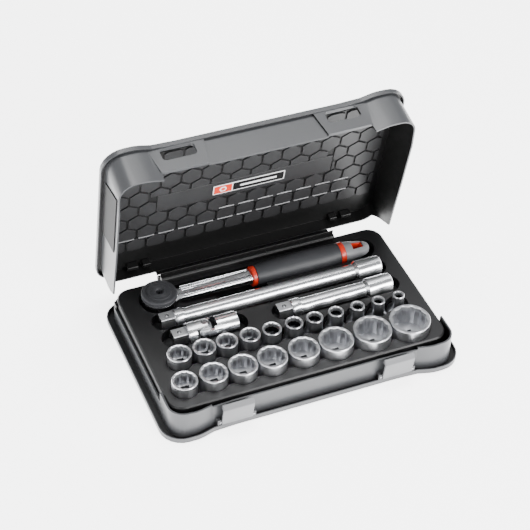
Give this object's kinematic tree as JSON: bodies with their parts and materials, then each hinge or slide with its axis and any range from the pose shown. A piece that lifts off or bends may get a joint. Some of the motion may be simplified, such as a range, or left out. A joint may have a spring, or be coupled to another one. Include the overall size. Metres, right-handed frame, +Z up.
{
  "type": "socket wrench set in a case",
  "caption": "Hard plastic case with a hinged, latched lid and a fitted tray holding upright twelve-point sockets, a reversible ratchet, extension bars and a universal joint.",
  "frame": {"origin": "centre of the base's flat underside", "axes": "+X along the case towards the right-hand end, +Y from the latches towards the hinge, +Z up"},
  "size_m": [0.328, 0.2278, 0.2311],
  "materials": {
    "case": "mid-grey moulded plastic with a fine grain",
    "tray": "charcoal moulded plastic",
    "hinge": "black plastic",
    "chrome": "satin chrome plate",
    "steel": "bare steel",
    "grip": "soft dark-grey grip",
    "red": "red plastic trim",
    "cap": "light-grey hard plastic",
    "label": "printed or inset panel, left blank"
  },
  "bodies": {
    "case_base": {"base_shell": "case", "tool_tray": "tray", "hinge_leaf_base": "hinge", "hinge_rod": "steel", "corner_buffer_left": "hinge", "corner_buffer_right": "hinge", "latch_pin_left": "steel", "latch_pin_right": "steel"},
    "lid": {"lid_shell": "case", "lid_pad": "tray", "lid_badge": "label", "hinge_leaf_lid": "hinge", "side_plate_left": "label", "side_plate_right": "label"},
    "latch_left": {"latch_left": "case"},
    "latch_right": {"latch_right": "case"},
    "ratchet": {"ratchet_body": "chrome", "ratchet_grip": "grip", "grip_ring_front": "red", "grip_ring_rear": "red", "grip_end_cap": "cap", "hanging_hole_liner": "red"},
    "ratchet_drive": {"ratchet_gear": "steel", "drive_ball": "steel"},
    "selector": {"ratchet_dial": "cap", "dial_screw": "steel", "ratchet_pawl": "steel"},
    "long_bar": {"extension_long": "chrome", "extension_ball_long": "steel"},
    "short_bar": {"extension_short": "chrome", "extension_ball_short": "steel"},
    "joint_drive_half": {"joint_drive_fork": "chrome", "joint_ball": "steel", "joint_pin_upright": "steel"},
    "joint_middle": {"joint_cross": "steel", "joint_pin_left": "steel", "joint_pin_right": "steel"},
    "joint_socket_half": {"joint_socket_fork": "chrome"},
    "wrench_socket_08": {"socket_08": "chrome"},
    "wrench_socket_09": {"socket_09": "chrome"},
    "wrench_socket_10": {"socket_10": "chrome"},
    "wrench_socket_11": {"socket_11": "chrome"},
    "wrench_socket_12": {"socket_12": "chrome"},
    "wrench_socket_13": {"socket_13": "chrome"},
    "wrench_socket_14": {"socket_14": "chrome"},
    "wrench_socket_15": {"socket_15": "chrome"},
    "wrench_socket_16": {"socket_16": "chrome"},
    "wrench_socket_17": {"socket_17": "chrome"},
    "wrench_socket_18": {"socket_18": "chrome"},
    "wrench_socket_19": {"socket_19": "chrome"},
    "wrench_socket_21": {"socket_21": "chrome"},
    "wrench_socket_22": {"socket_22": "chrome"},
    "wrench_socket_23": {"socket_23": "chrome"},
    "wrench_socket_24": {"socket_24": "chrome"},
    "wrench_socket_27": {"socket_27": "chrome"},
    "wrench_socket_30": {"socket_30": "chrome"},
    "wrench_socket_32": {"socket_32": "chrome"}
  },
  "joints": [
    {"name": "lid_hinge", "type": "hinge", "parent": "case_base", "child": "lid", "pos_m": [0, 0.0993, 0.0261], "axis": [-1, 0, 0], "range_deg": [-78.2, 27]},
    {"name": "latch_hinge_left", "type": "hinge", "parent": "case_base", "child": "latch_left", "pos_m": [-0.088, -0.0999, 0.0095], "axis": [1, 0, 0], "range_deg": [-10.5, 60]},
    {"name": "latch_hinge_right", "type": "hinge", "parent": "case_base", "child": "latch_right", "pos_m": [0.088, -0.0999, 0.0095], "axis": [1, 0, 0], "range_deg": [-10.5, 60]},
    {"name": "ratchet_lift", "type": "slide", "parent": "case_base", "child": "ratchet", "axis": [0, 0, 1], "range_m": [0, 0.08]},
    {"name": "ratchet_drive_turn", "type": "hinge", "parent": "ratchet", "child": "ratchet_drive", "pos_m": [-0.111, 0.0653, 0.02], "axis": [0, 0, 1], "continuous": true},
    {"name": "selector_turn", "type": "hinge", "parent": "ratchet", "child": "selector", "pos_m": [-0.111, 0.0653, 0.04], "axis": [0, 0, 1], "range_deg": [-15, 15]},
    {"name": "long_bar_lift", "type": "slide", "parent": "case_base", "child": "long_bar", "axis": [0, 0, 1], "range_m": [0, 0.07]},
    {"name": "short_bar_lift", "type": "slide", "parent": "case_base", "child": "short_bar", "axis": [0, 0, 1], "range_m": [0, 0.07]},
    {"name": "joint_lift", "type": "slide", "parent": "case_base", "child": "joint_drive_half", "axis": [0, 0, 1], "range_m": [0, 0.07]},
    {"name": "joint_swing_upright_pin", "type": "hinge", "parent": "joint_drive_half", "child": "joint_middle", "pos_m": [-0.0835, 0.006, 0.032], "axis": [0, 0, 1], "range_deg": [-3, 3]},
    {"name": "joint_swing_level_pins", "type": "hinge", "parent": "joint_middle", "child": "joint_socket_half", "pos_m": [-0.0835, 0.006, 0.032], "axis": [0, -1, 0], "range_deg": [0, 60]},
    {"name": "socket_08_lift", "type": "slide", "parent": "case_base", "child": "wrench_socket_08", "axis": [0, 0, 1], "range_m": [0, 0.06]},
    {"name": "socket_09_lift", "type": "slide", "parent": "case_base", "child": "wrench_socket_09", "axis": [0, 0, 1], "range_m": [0, 0.06]},
    {"name": "socket_10_lift", "type": "slide", "parent": "case_base", "child": "wrench_socket_10", "axis": [0, 0, 1], "range_m": [0, 0.06]},
    {"name": "socket_11_lift", "type": "slide", "parent": "case_base", "child": "wrench_socket_11", "axis": [0, 0, 1], "range_m": [0, 0.06]},
    {"name": "socket_12_lift", "type": "slide", "parent": "case_base", "child": "wrench_socket_12", "axis": [0, 0, 1], "range_m": [0, 0.06]},
    {"name": "socket_13_lift", "type": "slide", "parent": "case_base", "child": "wrench_socket_13", "axis": [0, 0, 1], "range_m": [0, 0.06]},
    {"name": "socket_14_lift", "type": "slide", "parent": "case_base", "child": "wrench_socket_14", "axis": [0, 0, 1], "range_m": [0, 0.06]},
    {"name": "socket_15_lift", "type": "slide", "parent": "case_base", "child": "wrench_socket_15", "axis": [0, 0, 1], "range_m": [0, 0.06]},
    {"name": "socket_16_lift", "type": "slide", "parent": "case_base", "child": "wrench_socket_16", "axis": [0, 0, 1], "range_m": [0, 0.06]},
    {"name": "socket_17_lift", "type": "slide", "parent": "case_base", "child": "wrench_socket_17", "axis": [0, 0, 1], "range_m": [0, 0.06]},
    {"name": "socket_18_lift", "type": "slide", "parent": "case_base", "child": "wrench_socket_18", "axis": [0, 0, 1], "range_m": [0, 0.06]},
    {"name": "socket_19_lift", "type": "slide", "parent": "case_base", "child": "wrench_socket_19", "axis": [0, 0, 1], "range_m": [0, 0.06]},
    {"name": "socket_21_lift", "type": "slide", "parent": "case_base", "child": "wrench_socket_21", "axis": [0, 0, 1], "range_m": [0, 0.06]},
    {"name": "socket_22_lift", "type": "slide", "parent": "case_base", "child": "wrench_socket_22", "axis": [0, 0, 1], "range_m": [0, 0.06]},
    {"name": "socket_23_lift", "type": "slide", "parent": "case_base", "child": "wrench_socket_23", "axis": [0, 0, 1], "range_m": [0, 0.06]},
    {"name": "socket_24_lift", "type": "slide", "parent": "case_base", "child": "wrench_socket_24", "axis": [0, 0, 1], "range_m": [0, 0.06]},
    {"name": "socket_27_lift", "type": "slide", "parent": "case_base", "child": "wrench_socket_27", "axis": [0, 0, 1], "range_m": [0, 0.06]},
    {"name": "socket_30_lift", "type": "slide", "parent": "case_base", "child": "wrench_socket_30", "axis": [0, 0, 1], "range_m": [0, 0.06]},
    {"name": "socket_32_lift", "type": "slide", "parent": "case_base", "child": "wrench_socket_32", "axis": [0, 0, 1], "range_m": [0, 0.06]}
  ]
}
